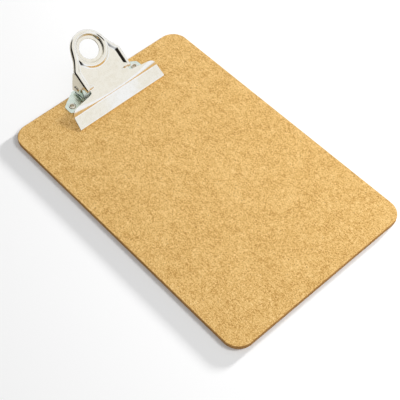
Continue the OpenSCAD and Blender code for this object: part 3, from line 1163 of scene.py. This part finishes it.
@dataclass
class Stage:
    """Pale floor, studio light and camera.

    Attributes:
        azimuth: the camera's bearing, in degrees.
        elevation: its height over the horizon, in degrees.
        roll: its turn about its own axis, in degrees.
        distance: from camera to target, in metres.
        target: the point that it looks at.
        lens: focal length for the film's width.
        film: width of the frame, in millimetres.
        keys: place, diameter and power of the soft key and of the low one.
        low: height under which a key is shaded by the board alone.
    """

    azimuth: float = -42.78
    elevation: float = 54.67
    roll: float = 0.39
    distance: float = 0.66814
    target: tuple[float, float, float] = (-0.01484, -0.01388, 0.0)
    lens: float = 89.98
    film: float = 36.0
    keys: tuple = (((0.45, -0.35, 0.60), 0.25, 3.0), ((1.6, 0.1, 0.30), 0.14, 50.0))
    low: float = 0.5

    def camera(self) -> None:
        """Places the camera: back is the direction from the target to the camera."""
        a, e, r = np.radians([self.azimuth, self.elevation, self.roll])
        back = np.array([np.sin(a) * np.cos(e), -np.cos(a) * np.cos(e), np.sin(e)])
        right = np.cross(-back, [0, 0, 1])
        right /= np.linalg.norm(right)
        up = np.cross(right, -back)
        right, up = right * np.cos(r) + up * np.sin(r), -right * np.sin(r) + up * np.cos(r)
        data = bpy.data.cameras.new("camera")
        data.lens, data.sensor_width = self.lens, self.film
        data.clip_start, data.clip_end = 0.01, 20.0
        camera = bpy.data.objects.new("camera", data)
        place = np.eye(4)
        place[:3, 0], place[:3, 1], place[:3, 2] = right, up, back
        place[:3, 3] = np.array(self.target) + back * self.distance
        camera.matrix_world = Matrix(place.tolist())
        bpy.context.scene.collection.objects.link(camera)
        bpy.context.scene.camera = camera

    def floor(self) -> Piece:
        """Lays a wide pale floor just under the board, lit from within far out, as in a light tent.

        Returns:
            The floor.
        """
        made, tree, shader = start_material("white_paper_sweep")
        shader.inputs["Roughness"].default_value = 0.95
        shader.inputs["Specular IOR Level"].default_value = 0.1
        shader.inputs["Base Color"].default_value = (0.93, 0.93, 0.93, 1.0)
        place = add(tree, "TexCoord").outputs["Object"]
        far = add(tree, "VectorMath", {"operation": "LENGTH"}, i0=place).outputs["Value"]
        share = add(tree, "MapRange", None, Value=far, From_Min=0.25, From_Max=0.8).outputs["Result"]
        lit = add(tree, "Emission", None, Strength=1.0)
        both = add(tree, "MixShader", None, Fac=share, i1=shader.outputs[0], i2=lit.outputs[0])
        tree.links.new(both.outputs[0], tree.nodes["Material Output"].inputs["Surface"])
        half, level = 4000.0, -0.05
        square = np.array([[-1, -1, 0], [1, -1, 0], [1, 1, 0], [-1, 1, 0]]) * half + [0, 0, level]
        floor = mesh_piece("floor", square, [[0, 1, 2, 3]], [made])
        floor.visible_glossy = False
        return floor

    def lamp(self, name: str, place: tuple[float, float, float], size: float, power: float) -> Piece:
        """Hangs one round soft light, aimed at the board, that plated metal doesn't mirror.

        Args:
            name: the light's name.
            place: where it hangs, in metres.
            size: its diameter in metres.
            power: its power in watts.

        Returns:
            The light.
        """
        data = bpy.data.lights.new(name, "AREA")
        data.shape, data.size, data.energy = "DISK", size, power
        light = bpy.data.objects.new(name, data)
        spin = (-Vector(place)).to_track_quat("-Z", "Y").to_matrix().to_4x4()
        light.matrix_world = Matrix.Translation(place) @ spin
        light.visible_glossy = False
        bpy.context.scene.collection.objects.link(light)
        return light

    def light(self, board: Piece, floor: Piece) -> None:
        """A soft key from the right, a low one that draws the board's shadow, and an even white room.

        Plated metal mirrors a room of its own: warm white above, cooler and brighter towards the horizon,
        and dark low on the left, which gives the nickel its black accents.

        Args:
            board: the panel, which alone shades the floor, and alone shades the low key.
            floor: the floor, which has its own pair of lights in the same places.
        """
        pieces, ground, shade = (bpy.data.collections.new(n) for n in ("lit_pieces", "lit_floor", "floor_shade"))
        for one in bpy.data.objects:
            if one.type == "MESH" and one is not floor:
                pieces.objects.link(one)
        ground.objects.link(floor)
        shade.objects.link(board)
        for place, size, power in self.keys:
            on_pieces = self.lamp("key_on_pieces", place, size, power).light_linking
            on_floor = self.lamp("key_on_floor", place, size, power).light_linking
            on_pieces.receiver_collection, on_floor.receiver_collection = pieces, ground
            on_floor.blocker_collection = shade
            if place[2] < self.low:
                on_pieces.blocker_collection = shade
        world = bpy.data.worlds.new("studio")
        world.use_nodes = True
        tree = world.node_tree
        tree.nodes.clear()
        split = add(tree, "SeparateXYZ", None, Vector=add(tree, "TexCoord").outputs["Generated"])
        # Each share grows from 0 to 1 as one component of the direction goes from start to end.
        limits = [("X", -0.12, -0.3), ("Z", 0.72, 0.64), ("Z", -0.66, -0.5), ("Y", -0.84, -0.74)]
        shares = []
        for axis, start, end in [*limits, ("Z", -0.15, 0.0), ("Z", 0.61, 0.65)]:
            share = add(tree, "MapRange", None, Value=split.outputs[axis], From_Min=start, From_Max=end)
            shares.append(share.outputs["Result"])
        dark = shares[0]
        for share in shares[1:4]:
            dark = add(tree, "Math", {"operation": "MULTIPLY"}, i0=dark, i1=share).outputs[0]
        # From the horizon down, then the low sky, the high sky and the dark side over them.
        seen = (0.66, 0.63, 0.56, 1.0)
        layers = [(1.01, 1.06, 1.2, 1.0), (0.95, 0.95, 0.95, 1.0), (0.015, 0.014, 0.012, 1.0)]
        for share, layer in zip((shares[4], shares[5], dark), layers):
            seen = add(tree, "Mix", {"data_type": "RGBA"}, i0=share, i6=seen, i7=layer).outputs[2]
        ray = add(tree, "LightPath")
        plain, mirror, white = (
            add(tree, "Background", None, Color=colour, Strength=strength).outputs[0]
            for colour, strength in ((WHITE, 0.49), (seen, 1.0), (WHITE, 1.0))
        )
        metal = add(tree, "MixShader", None, Fac=ray.outputs["Is Glossy Ray"], i1=plain, i2=mirror).outputs[0]
        pick = add(tree, "MixShader", None, Fac=ray.outputs["Is Camera Ray"], i1=metal, i2=white).outputs[0]
        add(tree, "OutputWorld", None, Surface=pick)
        bpy.context.scene.world = world
        bpy.context.scene.view_settings.view_transform = "Standard"


def main() -> None:
    """Builds the clipboard piece by piece, then the stage."""
    logging.basicConfig(level=logging.INFO, format="%(message)s")
    pivot = np.array(frame["joints"][0]["pos_m"]) / MM
    stage, board, bracket, lever = Stage(), Board(), Bracket(), Lever()
    stage.camera()
    pieces = [board.build(), bracket.build(pivot, board), lever.build(pivot), HingePin().build(pivot)]
    plate_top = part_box("base_plate")[0].z / MM + bracket.sheet
    # The spring's legs lie on the bracket's plate and under the lever's panel, clear by a hair.
    lift = Spring.wire / 2 + 0.05
    under = lever.plane(0.0, lever.ring_v - lever.ring_r + 3.5, -lever.sheet - lift)
    lower = (113.4 - pivot[1], plate_top + lift - pivot[2])
    pieces.append(Spring(lower, (under[1] - pivot[1], under[2] - pivot[2])).build(pivot))
    pieces += [Rivet().build(node, plate_top) for node in ("rivet_left", "rivet_right")]
    for piece in pieces:
        log.info("%s: %d faces", piece.name, len(piece.data.polygons))
    stage.light(pieces[0], stage.floor())


if __name__ == "__main__":
    main()
